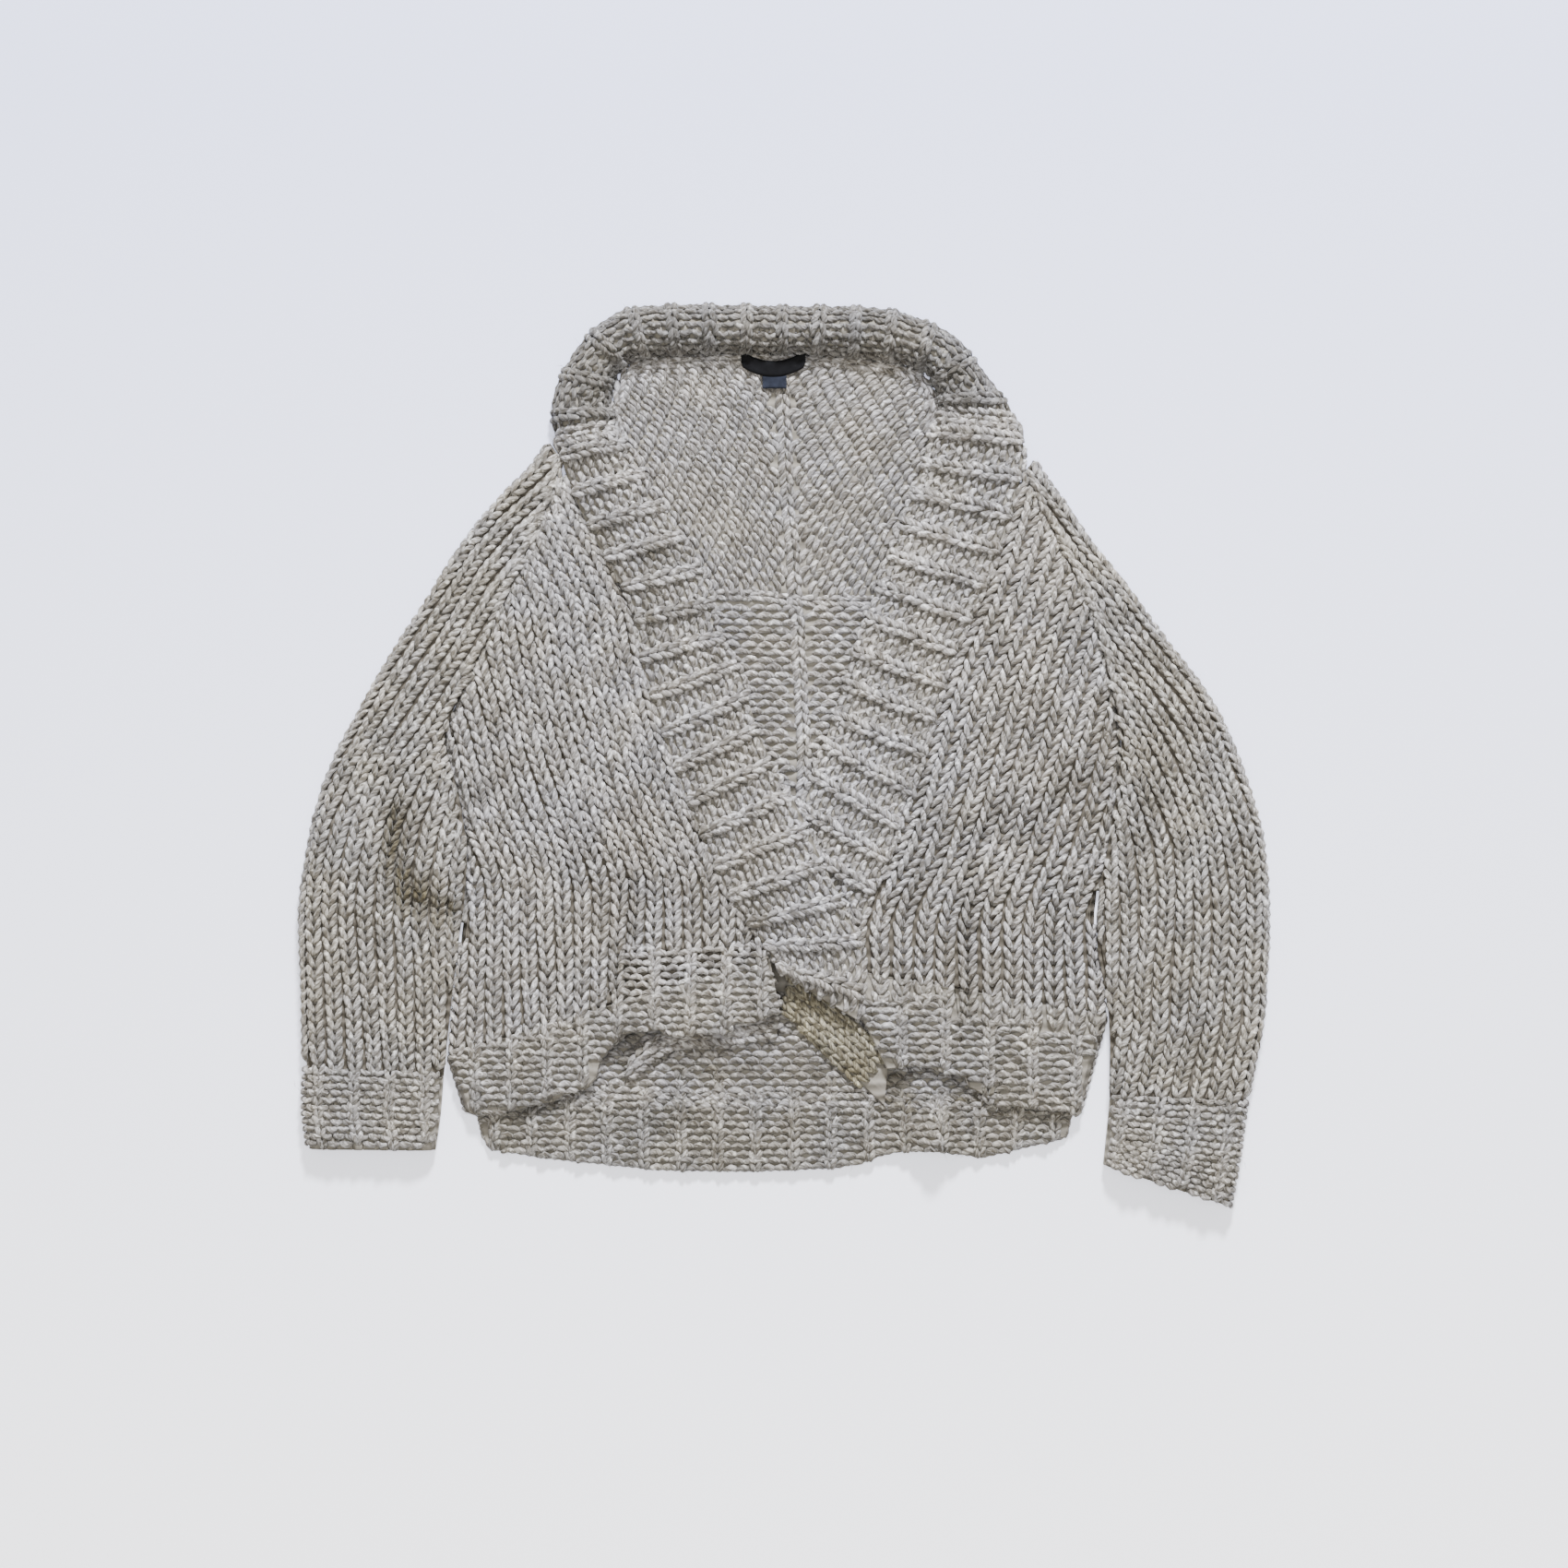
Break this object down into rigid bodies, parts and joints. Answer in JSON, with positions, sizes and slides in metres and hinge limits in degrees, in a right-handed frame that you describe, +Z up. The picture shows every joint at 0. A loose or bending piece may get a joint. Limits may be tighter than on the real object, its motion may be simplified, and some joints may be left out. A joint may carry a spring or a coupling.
{
  "type": "chunky knit open-front cardigan laid flat",
  "caption": "Chunky knitted open-front cardigan with ribbed shawl collar, bands, cuffs and hems, laid flat face up with its fronts crossed.",
  "frame": {"origin": "centre of the laid-out garment's outline, on the surface it lies on", "axes": "+Z up from the surface, +Y from hem to collar, +X to the viewer's right when seen from above with the collar at the top"},
  "size_m": [0.7241, 0.6742, 0.0268],
  "materials": {
    "knit": "matte brushed wool",
    "inside_knit": "matte brushed wool",
    "rib_knit": "matte brushed wool",
    "label": "satin woven tape",
    "size_tag": "satin woven tape"
  },
  "bodies": {
    "root": {"back_yoke": "inside_knit", "back_lower": "inside_knit", "back_hem_rib": "inside_knit", "left_front": "knit", "right_front": "knit", "left_hem_rib": "rib_knit", "right_hem_rib": "rib_knit", "left_sleeve": "knit", "right_sleeve": "knit", "left_cuff": "rib_knit", "right_cuff": "rib_knit", "collar": "rib_knit", "left_band": "rib_knit", "right_band": "rib_knit", "turned_corner": "knit", "under_hem": "knit", "label": "label", "size_tag": "size_tag"}
  },
  "joints": []
}
